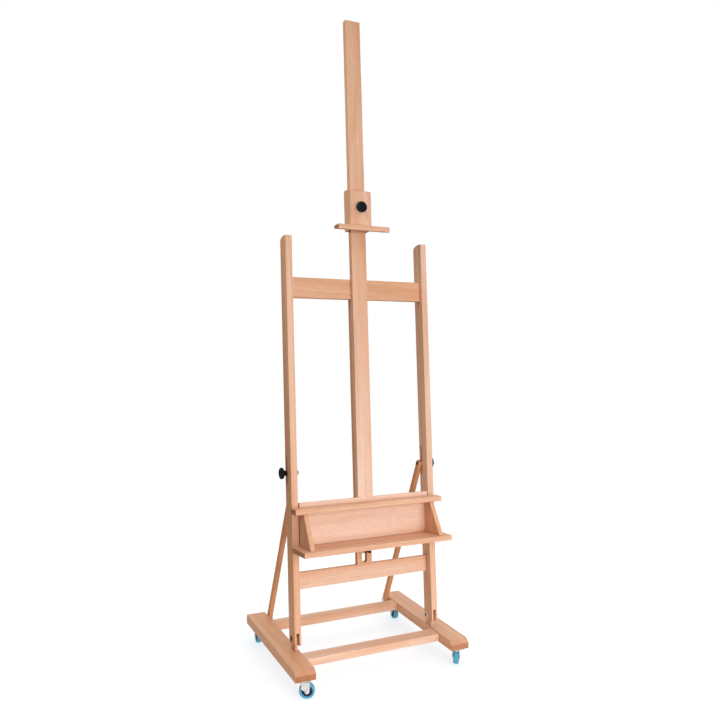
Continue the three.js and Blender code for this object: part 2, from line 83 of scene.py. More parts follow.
# ---- Node helpers -------------------------------------------------------------------

class Graph:
    """Short calls for building a node tree."""

    def __init__(self, tree):
        self.tree = tree

    def node(self, kind, inputs=None, **settings):
        """A node with its settings made first, and each input set or linked."""
        made = self.tree.nodes.new(kind)
        for key, value in settings.items():
            setattr(made, key, value)
        for key, value in (inputs or {}).items():
            if isinstance(value, bpy.types.NodeSocket):
                self.tree.links.new(value, made.inputs[key])
            else:
                made.inputs[key].default_value = value
        return made

    def math(self, operation, a, b=0.0):
        return self.node("ShaderNodeMath", {0: a, 1: b}, operation=operation).outputs[0]

    def span(self, value, low, high, to_low=0.0, to_high=1.0):
        """Eases a value from the range low to high into the range to_low to to_high."""
        inputs = {"Value": value, "From Min": low, "From Max": high}
        inputs |= {"To Min": to_low, "To Max": to_high}
        made = self.node("ShaderNodeMapRange", inputs, interpolation_type="SMOOTHSTEP")
        return made.outputs["Result"]

    def mix(self, factor, a, b, blend="MIX"):
        """Mixes two colours; the colour sockets of a Mix node are 6, 7 and output 2."""
        inputs = {0: factor, 6: a, 7: b}
        return self.node("ShaderNodeMix", inputs, data_type="RGBA", blend_type=blend).outputs[2]

    def noise(self, vector, scale, detail=3.0, rough=0.5):
        inputs = {"Vector": vector, "Scale": scale, "Detail": detail, "Roughness": rough}
        return self.node("ShaderNodeTexNoise", inputs).outputs["Fac"]

    def stretch(self, vector, scale, offset=(0, 0, 0)):
        inputs = {"Vector": vector, "Scale": scale, "Location": offset}
        return self.node("ShaderNodeMapping", inputs).outputs["Vector"]


def rgba(r, g, b):
    return (r, g, b, 1.0)


def new_material(name):
    material = bpy.data.materials.new(name)
    material.use_nodes = True
    material.node_tree.nodes.clear()
    return material, Graph(material.node_tree)


def finish_material(graph, color, roughness, height=None, bump=0.1, distance=0.1 * MM, **shader):
    """Principled shader from linked colour and roughness, with the height as bump."""
    inputs = {"Base Color": color, "Roughness": roughness, **shader}
    bsdf = graph.node("ShaderNodeBsdfPrincipled", inputs)
    if height is not None:
        inputs = {"Height": height, "Strength": bump, "Distance": distance}
        normal = graph.node("ShaderNodeBump", inputs).outputs["Normal"]
        graph.tree.links.new(normal, bsdf.inputs["Normal"])
    output = graph.node("ShaderNodeOutputMaterial")
    graph.tree.links.new(bsdf.outputs["BSDF"], output.inputs["Surface"])


# ---- Materials ----------------------------------------------------------------------

def beech_group():
    """Steamed beech: faint growth rings, long streaks, fine flecks. X runs along the grain."""
    tree = bpy.data.node_groups.new("steamed_beech", "ShaderNodeTree")
    sockets = [("Vector", "INPUT", "Vector"), ("Tone", "INPUT", "Float")]
    sockets += [("Pale And Painted Light", "INPUT", "Float"), ("End Grain", "INPUT", "Float")]
    sockets += [("Wear And Painted Shade", "INPUT", "Float"), ("Color", "OUTPUT", "Color")]
    sockets += [("Roughness", "OUTPUT", "Float"), ("Height", "OUTPUT", "Float")]
    for name, way, kind in sockets:
        tree.interface.new_socket(name, in_out=way, socket_type=f"NodeSocket{kind}")
    g = Graph(tree)
    source = g.node("NodeGroupInput")
    place = source.outputs["Vector"]
    pale_and_painted_light = source.outputs["Pale And Painted Light"]
    wear_and_painted_shade = source.outputs["Wear And Painted Shade"]

    # Growth rings: distance from a pith line that wanders slowly along the piece.
    slow = g.stretch(place, (0.8, 4, 4))
    wander = g.node("ShaderNodeTexNoise", {"Vector": slow, "Scale": 1.0, "Detail": 2.0})
    sway = {0: wander.outputs["Color"], 1: (0.0, 0.06, 0.06)}
    bent = g.node("ShaderNodeVectorMath", sway, operation="MULTIPLY").outputs[0]
    moved = g.node("ShaderNodeVectorMath", {0: place, 1: bent}, operation="ADD").outputs[0]
    log = {"Vector": g.stretch(moved, (0.03, 1, 1)), "Scale": 38.0, "Distortion": 2.4}
    log |= {"Detail": 2.0, "Detail Scale": 1.6}
    kind = {"wave_type": "RINGS", "rings_direction": "X", "wave_profile": "SIN"}
    rings = g.node("ShaderNodeTexWave", log, **kind).outputs["Fac"]
    patches = g.noise(g.stretch(place, (2.2, 38, 38), (3, 1, 7)), 1.0, 2.0)
    late = g.math("MULTIPLY", g.span(rings, 0.35, 1.0), g.span(patches, 0.36, 0.66, 0.15, 1.0))

    # Noise drawn out along the grain: streaks, broad bands, fibre and dark flecks.
    streak = g.noise(g.stretch(place, (0.8, 60, 60)), 1.0, 5.0, 0.6)
    broad = g.noise(g.stretch(place, (1.1, 14, 14)), 1.0, 2.0)
    fibre = g.noise(g.stretch(place, (18, 900, 900)), 1.0, 2.0, 0.6)
    fleck = g.span(g.noise(g.stretch(place, (210, 1500, 1500)), 1.0, 1.0), 0.60, 0.68)

    light = g.mix(g.span(streak, 0.32, 0.68), rgba(0.85, 0.515, 0.330), rgba(0.70, 0.350, 0.190))
    # Paling towards a pale tan: partly the board's own tone and partly painted light and sheen.
    paled_and_painted_light = g.mix(pale_and_painted_light, light, rgba(0.92, 0.68, 0.54))
    warm = g.mix(g.span(broad, 0.42, 0.66, 0.0, 0.7), paled_and_painted_light, rgba(0.75, 0.39, 0.225))
    contrast = g.span(pale_and_painted_light, 0.0, 1.0, 0.48, 0.20)
    ringed = g.mix(g.math("MULTIPLY", late, contrast), warm, rgba(0.62, 0.295, 0.160))
    fibred = g.mix(g.span(fibre, 0.35, 0.75, 0.0, 0.28), ringed, rgba(0.48, 0.235, 0.125))
    flecked = g.mix(g.math("MULTIPLY", fleck, 0.38), fibred, rgba(0.34, 0.15, 0.075))
    toned = g.mix(source.outputs["Tone"], flecked, rgba(0.60, 0.235, 0.070))
    ended = g.mix(source.outputs["End Grain"], toned, rgba(0.62, 0.47, 0.38), "MULTIPLY")
    # Darker eased edges: partly wear, partly painted shade laid over the light that the rounded edges catch.
    worn_and_painted_shade = g.mix(g.math("MULTIPLY", wear_and_painted_shade, 0.60), ended, rgba(0.52, 0.27, 0.14))

    roughness = g.span(streak, 0.2, 0.8, 0.38, 0.50)
    roughness = g.math("ADD", roughness, g.math("MULTIPLY", fleck, 0.10))
    roughness = g.math("SUBTRACT", roughness, g.math("MULTIPLY", wear_and_painted_shade, 0.06))
    height = g.math("MULTIPLY", fibre, 0.5)
    height = g.math("SUBTRACT", height, g.math("MULTIPLY", fleck, 0.8))
    height = g.math("SUBTRACT", height, g.math("MULTIPLY", late, 0.3))
    sink = g.node("NodeGroupOutput")
    tree.links.new(worn_and_painted_shade, sink.inputs["Color"])
    tree.links.new(roughness, sink.inputs["Roughness"])
    tree.links.new(height, sink.inputs["Height"])
    return tree


BEECH_GROUP = beech_group()


def axes_for(grain):
    """Rows of a rotation that takes the grain direction to +X."""
    x = Vector(grain).normalized()
    helper = ACROSS if abs(x.x) < 0.9 else ALONG
    y = (helper - x * helper.dot(x)).normalized()
    return (x, y, x.cross(y))


def beech(node, grain, seed, tone, pale_and_painted_light):
    """Beech for one piece: the grain runs along a direction, and the seed picks its log.

    The pale share, partly the board's own tone and partly painted light, may be a pair, for the foot and the top
    of a tall piece.
    """
    low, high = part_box(node)
    material, g = new_material(f"beech_{node}")
    rng = np.random.default_rng(seed)
    source = g.node("ShaderNodeTexCoord")
    coordinates = source.outputs["Object"]

    # The log's axis leans a little in the piece, by less in a long one.
    slant = min(0.04, 10 * MM / max(high - low))
    lean = Matrix.Rotation(slant * rng.normal(), 3, "Z")
    lean = lean @ Matrix.Rotation(slant * rng.normal(), 3, "Y")
    spin = (lean @ Matrix(axes_for(grain))).to_euler()
    pith_x = rng.uniform(-9, 9)
    pith_y = rng.uniform(0.03, 0.09) * rng.choice((-1, 1))
    pith_z = rng.uniform(0.02, 0.08) * rng.choice((-1, 1))
    spun = g.node("ShaderNodeMapping", {"Vector": coordinates, "Rotation": spin})
    from_pith = {"Vector": spun.outputs["Vector"], "Location": (pith_x, pith_y, pith_z)}
    placed = g.node("ShaderNodeMapping", from_pith).outputs["Vector"]
    tone = float(np.clip(tone + rng.uniform(-0.03, 0.07), 0, 1))

    facing = {0: source.outputs["Normal"], 1: tuple(Vector(grain).normalized())}
    squareness = g.node("ShaderNodeVectorMath", facing, operation="DOT_PRODUCT")
    end_grain = g.span(g.math("ABSOLUTE", squareness.outputs["Value"]), 0.45, 0.80)
    # Patchy darkening of the eased edges: wear, and painted shade on them.
    edge = g.node("ShaderNodeAttribute", attribute_name=EDGE_WEAR_AND_PAINTED_SHADE).outputs["Fac"]
    wear_and_painted_shade = g.math("MULTIPLY", edge, g.span(g.noise(coordinates, 38.0, 3.0), 0.38, 0.62))
    # A pale share that changes from foot to top is painted light: the piece is paler where more light falls on it.
    if isinstance(pale_and_painted_light, tuple):
        height = g.node("ShaderNodeSeparateXYZ", {0: coordinates}).outputs["Z"]
        pale_and_painted_light = g.span(height, low.z, high.z, *pale_and_painted_light)

    inputs = {"Vector": placed, "Tone": tone, "Pale And Painted Light": pale_and_painted_light, "End Grain": end_grain, "Wear And Painted Shade": wear_and_painted_shade}
    out = g.node("ShaderNodeGroup", inputs, node_tree=BEECH_GROUP).outputs
    sheen = {"bump": 0.35, "distance": 0.15 * MM, "Specular IOR Level": 0.25}
    finish_material(g, out["Color"], out["Roughness"], out["Height"], **sheen)
    return material


def black_plastic():
    material, g = new_material("black_plastic")
    place = g.node("ShaderNodeTexCoord").outputs["Object"]
    grain = g.noise(place, 900.0, 2.0)
    # The lighter, rougher patches are dust; the blue in them and in the black is painted reflection, a bluish
    # sheen laid into the colour.
    dust = g.noise(place, 60.0, 4.0, 0.6)
    color = g.mix(g.span(dust, 0.45, 0.8), rgba(0.003, 0.007, 0.012), rgba(0.007, 0.020, 0.034))
    rough = g.span(dust, 0.3, 0.8, 0.36, 0.5)
    finish_material(g, color, rough, grain, 0.25, **{"Specular IOR Level": 0.09})
    return material


def zinc():
    material, g = new_material("zinc")
    place = g.node("ShaderNodeTexCoord").outputs["Object"]
    spangle = g.node("ShaderNodeTexVoronoi", {"Vector": place, "Scale": 420.0})
    smear = g.noise(place, 85.0, 4.0, 0.6)
    color = g.mix(g.span(smear, 0.35, 0.7), rgba(0.84, 0.86, 0.88), rgba(0.68, 0.70, 0.72))
    grit = g.math("MULTIPLY", spangle.outputs["Distance"], 0.05)
    rough = g.math("ADD", g.span(smear, 0.3, 0.75, 0.24, 0.38), grit)
    finish_material(g, color, rough, smear, 0.15, Metallic=0.6)
    return material


def black_steel():
    material, g = new_material("black_steel")
    place = g.node("ShaderNodeTexCoord").outputs["Object"]
    smear = g.noise(place, 120.0, 4.0, 0.6)
    color = g.mix(g.span(smear, 0.4, 0.7), rgba(0.030, 0.030, 0.034), rgba(0.060, 0.058, 0.060))
    rough = g.span(smear, 0.3, 0.7, 0.34, 0.48)
    finish_material(g, color, rough, smear, 0.2, Metallic=0.6)
    return material


def hub_plastic():
    material, g = new_material("hub_plastic")
    place = g.node("ShaderNodeTexCoord").outputs["Object"]
    scuff = g.noise(place, 160.0, 4.0, 0.6)
    color = g.mix(g.span(scuff, 0.45, 0.75), rgba(0.018, 0.018, 0.048), rgba(0.045, 0.048, 0.100))
    finish_material(g, color, g.span(scuff, 0.3, 0.7, 0.32, 0.45), scuff, 0.2)
    return material


def tyre_rubber():
    material, g = new_material("tyre_rubber")
    place = g.node("ShaderNodeTexCoord").outputs["Object"]
    dust = g.noise(place, 70.0, 4.0, 0.6)
    fine = g.noise(place, 600.0, 3.0)
    color = g.mix(g.span(dust, 0.4, 0.75), rgba(0.064, 0.340, 0.510), rgba(0.110, 0.41, 0.58))
    finish_material(g, color, g.span(dust, 0.3, 0.7, 0.42, 0.6), fine, 0.25)
    return material


def floor_material():
    """White seamless floor, lit from within so that it only takes faint shadows.

    What the easel gets from its glow is less than the camera sees, and fades outwards.
    """
    material, g = new_material("floor")
    place = g.node("ShaderNodeTexCoord").outputs["Object"]
    cloud = g.span(g.noise(place, 0.8, 2.0), 0.3, 0.7)
    color = g.mix(cloud, rgba(0.50, 0.37, 0.26), rgba(0.51, 0.38, 0.27))
    away = g.node("ShaderNodeVectorMath", {0: place}, operation="LENGTH").outputs["Value"]
    bounced = g.span(away, *FLOOR_FADE, FLOOR_BOUNCE, 0.0)
    camera_ray = g.node("ShaderNodeLightPath").outputs["Is Camera Ray"]
    shown = g.math("MAXIMUM", camera_ray, bounced)
    glow = g.math("MULTIPLY", shown, g.span(away, *FLOOR_FADE, *FLOOR_GLOW))
    white = {"Emission Color": rgba(0.735, 0.895, 1.0), "Emission Strength": glow}
    white |= {"Specular IOR Level": 0.0}
    finish_material(g, color, 0.9, **white)
    return material


# ---- Mesh helpers -------------------------------------------------------------------

def object_from(name, bm):
    """A new object in the scene with a bmesh's shape; the bmesh is freed."""
    data = bpy.data.meshes.new(name)
    bm.to_mesh(data)
    bm.free()
    made = bpy.data.objects.new(name, data)
    bpy.context.scene.collection.objects.link(made)
    return made


def add_piece(name, bm, material, body, nodes=()):
    """Turns a bmesh, placed where the piece is at rest, into a piece that rides on a body."""
    bmesh.ops.recalc_face_normals(bm, faces=bm.faces)
    made = object_from(name, bm)
    made.data.materials.append(material)
    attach(made, body)
    if nodes:
        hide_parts(*nodes)
    return made


def shade_by_area(obj):
    """Smooth shading that keeps the broad faces flat and the eased edges round."""
    for face in obj.data.polygons:
        face.use_smooth = True
    weighted = obj.modifiers.new("weighted", "WEIGHTED_NORMAL")
    weighted.keep_sharp = True
    weighted.weight = 80


def merge_flat(bm):
    """Joins vertices that coincide and faces that lie in one plane."""
    bmesh.ops.remove_doubles(bm, verts=bm.verts, dist=WELD)
    bmesh.ops.dissolve_limit(bm, angle_limit=FLAT, verts=bm.verts, edges=bm.edges)


def clean_copy(node):
    """The CAD node's mesh as a bmesh with its coplanar triangles merged."""
    bm = bmesh.new()
    bm.from_mesh(NODES[node].data)
    merge_flat(bm)
    return bm


def ease_edges(bm, width, segments=3, sharper_than=28):
    """Rounds the edges that turn by more than a limit in degrees and marks them, for the beech's edge wear and
    painted edge shade.
    """
    layer = bm.faces.layers.float.new(EDGE_WEAR_AND_PAINTED_SHADE)
    limit = math.radians(sharper_than)
    hard = [e for e in bm.edges if len(e.link_faces) == 2 and e.calc_face_angle(0) > limit]
    made = bmesh.ops.bevel(
        bm, geom=hard, offset=width, offset_type="OFFSET", segments=segments, profile=0.6,
        affect="EDGES", clamp_overlap=True, miter_outer="ARC",
    )
    for face in made["faces"]:
        face[layer] = 1.0
    return bm


def wood(node, grain, seed, width, tone, pale_and_painted_light):
    """A wooden piece: the CAD shape with eased edges and its own beech."""
    bm = ease_edges(clean_copy(node), width)
    material = beech(node, grain, seed, tone, pale_and_painted_light)
    shade_by_area(add_piece(f"{node}_wood", bm, material, BODY_OF[node], [node]))


def frame_on(centre, axis, along):
    """Matrix whose Z is an axis through a centre, with its X near another direction."""
    z = Vector(axis).normalized()
    helper = Vector(along)
    x = (helper - z * helper.dot(z)).normalized()
    turn = Matrix((x, z.cross(x), z)).transposed().to_4x4()
    return Matrix.Translation(Vector(centre)) @ turn


def skin_rings(rings, closed=False):
    """A tube through rings of points; its ends are closed with a fan, or it joins to itself."""
    bm = bmesh.new()
    rows = [[bm.verts.new(point) for point in ring] for ring in rings]
    count = len(rows[0])
    pairs = list(zip(rows, rows[1:]))
    if closed:
        pairs.append((rows[-1], rows[0]))
    for low, high in pairs:
        for i in range(count):
            j = (i + 1) % count
            bm.faces.new((low[i], low[j], high[j], high[i]))
    if not closed:
        for row in (rows[0], rows[-1]):
            centre = bm.verts.new(sum((v.co for v in row), Vector()) / count)
            for i in range(count):
                bm.faces.new((row[i], row[(i + 1) % count], centre))
    return bm


def turned(matrix, profile, segments=64, closed=False):
    """Turns a profile of (radius, height) about the matrix's Z.

    A radius may be a function of the angle.
    """
    rings = []
    for radius, height in profile:
        ring = []
        for i in range(segments):
            angle = TURN * i / segments
            r = radius(angle) if callable(radius) else radius
            ring.append(matrix @ Vector((r * math.cos(angle), r * math.sin(angle), height)))
        rings.append(ring)
    return skin_rings(rings, closed)


def smooth(obj, angle):
    """Smooth shading, with the edges that turn by more than an angle in degrees kept sharp."""
    for face in obj.data.polygons:
        face.use_smooth = True
    obj.data.set_sharp_from_angle(angle=math.radians(angle))


def arc(radius, start, end, steps, centre=(0, 0)):
    """Points on an arc about a centre, its ends given in degrees."""
    angles = np.radians(np.linspace(start, end, steps))
    return [(centre[0] + radius * math.cos(a), centre[1] + radius * math.sin(a)) for a in angles]


def hexagon(across):
    """Radius by angle of a hexagon with slightly rounded corners, from its half width."""
    def radius(angle):
        local = (angle % (TURN / 6)) - TURN / 12
        return min(across / math.cos(local), across * 1.135)
    return radius


def hex_profile(across, low, high, bore=0.0):
    """Nut or bolt head with turned chamfers at both ends."""
    flat = hexagon(across)

    def cut_to(share):
        return lambda angle: min(flat(angle), across * share)

    face = across * 0.85
    drop = across * 0.16
    rim = [(cut_to(0.97), 0.02 * MM), (cut_to(1.08), drop * 0.5), (flat, drop)]
    end = [(bore, 0.0), (face, 0.0)] + rim
    return [(r, low + h) for r, h in end] + [(r, high - h) for r, h in reversed(end)]


# ---- Wood ---------------------------------------------------------------------------

THIN = {"tray_end_left", "tray_end_right", "holder_back_plate"}
THIN |= {"holder_cheek_left", "holder_cheek_right"}
THIN_EASE = 0.8 * MM
EASE = 1.2 * MM
FIRST_SEED = 11

# How orange a piece is, and how pale: one share, or its foot's and its top's.
# The pale shares are partly the boards' own tone and partly painted light: pieces are paled
# where more light and sheen fall on them, the mast is pale at its foot and darker towards its
# top where less light reaches, and the uprights are paled towards their tops where the high
# fill falls.
TONES = {"strut_left": 0.46, "strut_right": 0.42, "centre_post": 0.12}
TONES |= {"runner_left": 0.10, "runner_right": 0.08}
PALES_AND_PAINTED_LIGHT = {"mast": (1.0, 0.15), "upright_left": (0.0, 0.30), "upright_right": (0.25, 1.0)}
PALES_AND_PAINTED_LIGHT |= {"crossbar_lower": 0.65, "tray_back_panel": 0.80, "runner_right": 0.20}
PALES_AND_PAINTED_LIGHT |= {"holder_cheek_left": 0.55, "holder_front": 0.40, "clamp_bar": 0.30}
PALES_AND_PAINTED_LIGHT |= {"stretcher_front": 0.80, "stretcher_rear": 0.65}
PALES_AND_PAINTED_LIGHT |= {"canvas_ledge": 0.20, "tray_floor": 0.20}


def build_wood():
    across = ["stretcher_front", "stretcher_rear", "crossbar_upper", "crossbar_lower"]
    across += ["tray_back_panel", "canvas_ledge", "tray_floor", "clamp_bar"]
    leaning = ["mast", "centre_post", "holder_front", "holder_back_plate"]
    pieces = [(node, ACROSS) for node in across] + [(node, MAST_UP) for node in leaning]
    for side in SIDES:
        pieces += [(f"runner_{side}", ALONG), (f"pivot_tongue_{side}", UP)]
        pieces += [(f"upright_{side}", MAST_UP), (f"strut_{side}", STRUT_UP)]
        pieces += [(f"tray_end_{side}", MAST_UP), (f"holder_cheek_{side}", MAST_UP)]
    for seed, (node, grain) in enumerate(pieces, start=FIRST_SEED):
        ease = THIN_EASE if node in THIN else EASE
        wood(node, grain, seed, ease, TONES.get(node, 0.0), PALES_AND_PAINTED_LIGHT.get(node, 0.0))


# ---- Knobs --------------------------------------------------------------------------

def reach_of(node, centre, axis):
    """Lowest and highest place of a CAD node along an axis through a centre, and its radius."""
    axis = Vector(axis).normalized()
    offsets = [v.co - Vector(centre) for v in NODES[node].data.vertices]
    heights = [o.dot(axis) for o in offsets]
    radius = max((o - axis * o.dot(axis)).length for o in offsets)
    return min(heights), max(heights), radius


TILT_KNOB = {"head_length": 11 * MM, "neck": 9 * MM, "neck_length": 10.7 * MM}
TILT_KNOB |= {"lobes": 8, "dip": 1.6 * MM}
HOLDER_KNOB = {"head_length": 7.5 * MM, "neck": 8 * MM, "neck_length": 5 * MM}
HOLDER_KNOB |= {"lobes": 10, "dip": 0.9 * MM}
LOCK_KNOB = {"head_length": 16 * MM, "neck": 8 * MM, "neck_length": 9 * MM}
LOCK_KNOB |= {"lobes": 5, "dip": 5 * MM, "phase": math.radians(-12)}


def knob(node, head_length, neck, neck_length, lobes, dip, phase=0.0):
    """Moulded hand knob: flared neck, lobed rim, dished cap. The phase turns the lobes."""
    joint = JOINTS[f"{node}_turn"]
    axis = Vector(joint["axis"]).normalized()
    _, high, head = reach_of(node, joint["pos_m"], axis)
    top = neck_length + head_length
    helper = UP if abs(axis.z) < 0.9 else ACROSS
    matrix = frame_on(Vector(joint["pos_m"]) + axis * (high - top), axis, helper)

    def rim(scale):
        return lambda angle: scale * (head - dip * (0.5 - 0.5 * math.cos(lobes * (angle - phase))))

    body = [(neck * 0.86, 0.0), (neck * 0.95, 0.0), (neck, 0.6 * MM)]
    body += [(neck * 0.97, neck_length * 0.5), (neck * 1.05, neck_length * 0.85)]
    body += [(neck * 1.35, neck_length)]
    rounding = head_length * 0.28
    under = neck_length + 0.4 * MM
    outer = [(rim(0.80), under), (rim(0.93), under + rounding * 0.25)]
    outer += [(rim(0.985), under + rounding * 0.7), (rim(1.0), under + rounding * 1.3)]
    outer += [(rim(1.0), top - rounding * 1.2), (rim(0.985), top - rounding * 0.65)]
    outer += [(rim(0.945), top - rounding * 0.24), (rim(0.88), top - rounding * 0.04)]
    outer += [(rim(0.80), top)]
    dish = min(head - dip, head * 0.8) * 0.82
    cap = [(dish, top), (dish - 0.5 * MM, top - 0.9 * MM), (dish - 1.3 * MM, top - 1.0 * MM)]
    cap += [(dish * 0.5, top - 0.75 * MM), (dish * 0.1, top - 0.65 * MM)]
    bm = turned(matrix, body + outer + cap, 120)
    black = MATERIALS["black_plastic"]
    smooth(add_piece(f"{node}_moulded", bm, black, BODY_OF[node], [node]), 50)


def build_knobs():
    for side in SIDES:
        knob(f"tilt_knob_{side}", **TILT_KNOB)
    knob("holder_knob", **HOLDER_KNOB)
    knob("lock_knob", **LOCK_KNOB)


# ---- Bolts, nuts and washers --------------------------------------------------------

# Half width of a hexagon over its corner radius, then the radii of shanks and a bore.
HEX_FLAT = 0.866
RINGS_PER_PITCH = 6
PIVOT_SHANK = 5 * MM
STRUT_SHANK = 3.9 * MM
LOCK_BORE = 4.2 * MM


def thread_radius(radius, depth, pitch, height):
    return lambda angle: radius - depth * (0.5 + 0.5 * math.cos(angle - TURN * height / pitch))


def threaded(radius, low, high, pitch=1.25 * MM, depth=0.55 * MM):
    """Profile of a threaded end, rings close enough to follow the thread."""
    count = int((high - low) / pitch * RINGS_PER_PITCH) + 2
    heights = np.linspace(low, high, count)
    return [(thread_radius(radius, depth, pitch, h), h) for h in heights]


def socket_head(radius, low, high, socket):
    """Round head that faces up, with eased rim and a hexagon socket."""
    deep = high - min(2.2 * MM, (high - low) * 0.7)
    hexed = hexagon(socket)
    return [
        (radius * 0.9, low),
        (radius, low + 0.2 * MM),
        (radius, high - 1.0 * MM),
        (radius - 0.35 * MM, high - 0.3 * MM),
        (radius - 1.1 * MM, high),
        (lambda angle: hexed(angle) * 1.08, high),
        (hexed, high - 0.3 * MM),
        (hexed, deep),
        (socket * 0.2, deep - 0.3 * MM),
    ]


def hardware(name, matrix, profile, node, slot, closed=False, segments=48, angle=35):
    """One turned piece that stands for its CAD node."""
    bm = turned(matrix, profile, segments, closed)
    smooth(add_piece(name, bm, MATERIALS[slot], BODY_OF[node], [node]), angle)


def build_pivot(side, outward):
    """Bolt with a socket head through the fork and the tongue, and its nut."""
    pivot = Vector(JOINTS["tilt"]["pos_m"])
    matrix = frame_on(pivot, outward, UP)
    node = f"pivot_bolt_{side}"
    low, high, radius = reach_of(node, pivot, outward)
    head = high - 3 * MM
    profile = [(PIVOT_SHANK * 0.7, low), (PIVOT_SHANK - 0.7 * MM, low + 0.3 * MM)]
    profile += threaded(PIVOT_SHANK, low + 0.8 * MM, low + 12 * MM)
    profile += [(PIVOT_SHANK, low + 12.4 * MM), (PIVOT_SHANK, head)]
    profile += socket_head(radius, head, high, 3.4 * MM)
    hardware(f"{node}_steel", matrix, profile, node, "black_steel")
    node = f"pivot_nut_{side}"
    low, high, radius = reach_of(node, pivot, outward)
    profile = hex_profile(radius * HEX_FLAT, low, high, PIVOT_SHANK + 0.1 * MM)
    hardware(f"{node}_steel", matrix, profile, node, "zinc", True)


def build_strut_screw(side, inward):
    node = f"strut_screw_{side}"
    low, high, radius = reach_of(node, STRUT_FOOT, inward)
    head = high - 4 * MM
    profile = [(STRUT_SHANK, low), (STRUT_SHANK, head)]
    profile += socket_head(radius, head, high, 3 * MM)
    hardware(f"{node}_steel", frame_on(STRUT_FOOT, inward, UP), profile, node, "zinc")


def build_tilt_bolt(side, inward):
    """Bolt that the hand knob turns on, with its hexagon head inside the strut."""
    node = f"tilt_bolt_{side}"
    centre = Vector(JOINTS[f"tilt_knob_{side}_turn"]["pos_m"])
    low, high, radius = reach_of(node, centre, inward)
    head = high - 3.5 * MM
    profile = [(3.2 * MM, low), (STRUT_SHANK, low + 0.7 * MM), (STRUT_SHANK, head)]
    profile += hex_profile(radius * HEX_FLAT, head, high)[1:-1]
    hardware(f"{node}_steel", frame_on(centre, inward, UP), profile, node, "black_steel")


def build_bolts():
    for side, sign in zip(SIDES, (-1, 1)):
        outward = ACROSS * sign
        build_pivot(side, outward)
        build_strut_screw(side, -outward)
        build_tilt_bolt(side, -outward)


def build_lock():
    """Bolt in the post's slot, with its plate washer and nut behind the post."""
    joint = JOINTS["lock_knob_turn"]
    back = -Vector(joint["axis"])
    matrix = frame_on(joint["pos_m"], back, ACROSS)
    low, high, radius = reach_of("lock_bolt", joint["pos_m"], back)
    tip = radius * 0.75
    profile = [(tip, low)] + threaded(radius, low + 0.5 * MM, high - 0.8 * MM) + [(tip, high)]
    hardware("lock_bolt_thread", matrix, profile, "lock_bolt", "zinc")
    low, high, radius = reach_of("lock_washer", joint["pos_m"], back)
    rim = 0.5 * MM
    profile = [(LOCK_BORE, low), (radius - rim, low), (radius, low + rim), (radius, high - rim)]
    profile += [(radius - rim, high), (LOCK_BORE + rim, high), (LOCK_BORE, high - rim)]
    hardware("lock_washer_steel", matrix, profile, "lock_washer", "zinc", True, 72)
    low, high, radius = reach_of("lock_nut", joint["pos_m"], back)
    profile = hex_profile(radius * HEX_FLAT, low, high, LOCK_BORE)
    hardware("lock_nut_steel", matrix, profile, "lock_nut", "zinc", True)


# ---- Castors ------------------------------------------------------------------------

# Heights are above the floor; the fork and the wheel are about the castor's stem.
FORK = {"half": 12.8 * MM, "wall": 2 * MM, "top": 53.7 * MM}
FORK |= {"skirt": 37 * MM, "end": 21 * MM, "eye": 7.5 * MM}
FORK_EASE = 0.45 * MM
WHEEL = {"trail": 12 * MM, "axle": 25 * MM, "radius": 25 * MM, "half_width": 9 * MM, "hub": 17 * MM}
PLATE_THICK = 2.4 * MM
PLATE_CORNER = 5 * MM
PLATE_EASE = 0.4 * MM
RACE_RADIUS = 15.3 * MM
SCREW_OUT = (18.6 * MM, 15.8 * MM)
SCREW_HEAD = 3.6 * MM
AXLE_HEAD = 1.7 * MM
KINGPIN = [(4.4 * MM, 51.2 * MM), (4.2 * MM, 50.2 * MM)]
KINGPIN += [(3.2 * MM, 49.6 * MM), (1 * MM, 49.4 * MM)]


def prism(points, low, high, matrix):
    """Closed prism over an outline of (u, v) points, from low to high along the matrix's Z."""
    return skin_rings([[matrix @ Vector((u, v, h)) for u, v in points] for h in (low, high)])


def loose_object(bm):
    bmesh.ops.recalc_face_normals(bm, faces=bm.faces)
    return object_from("part_of_boolean", bm)


def combine(first, others):
    """Applies (operation, bmesh) steps to a first bmesh and gives back the result."""
    target = loose_object(first)
    for operation, bm in others:
        cutter = loose_object(bm)
        step = target.modifiers.new("step", "BOOLEAN")
        step.operation, step.object, step.solver = operation, cutter, "EXACT"
        depsgraph = bpy.context.evaluated_depsgraph_get()
        result = bpy.data.meshes.new_from_object(target.evaluated_get(depsgraph))
        target.modifiers.clear()
        target.data = result
        bpy.data.objects.remove(cutter)
    made = bmesh.new()
    made.from_mesh(target.data)
    bpy.data.objects.remove(target)
    merge_flat(made)
    return made


